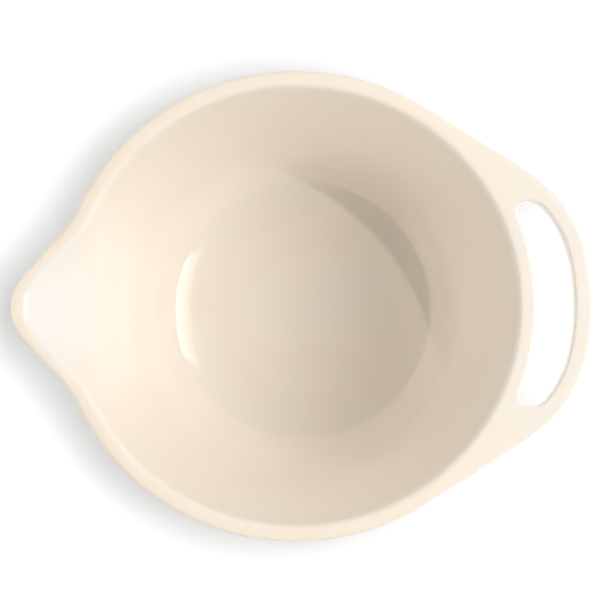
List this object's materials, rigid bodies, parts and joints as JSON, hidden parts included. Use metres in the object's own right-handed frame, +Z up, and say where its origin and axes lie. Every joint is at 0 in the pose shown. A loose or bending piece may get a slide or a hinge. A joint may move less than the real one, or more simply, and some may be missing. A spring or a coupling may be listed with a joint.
{
  "type": "mixing bowl",
  "caption": "Round, slightly oval glazed stoneware mixing bowl with a drawn pouring spout and, opposite it, a loop handle level with the rim.",
  "frame": {"origin": "on the bowl's axis at the level of the table, which is the middle of the object's base to within 2 mm", "axes": "+X from the spout towards the handle, +Z up out of the mouth, +Y across the bowl to complete a right-handed frame"},
  "size_m": [0.294, 0.2366, 0.128],
  "materials": {
    "cream_glaze": "gloss",
    "bare_clay": "matte"
  },
  "bodies": {
    "root": {"foot_ring": "bare_clay", "bowl_floor": "cream_glaze", "bowl_wall": "cream_glaze", "rim_band": "cream_glaze", "pouring_spout": "cream_glaze", "handle_loop": "cream_glaze"}
  },
  "joints": []
}
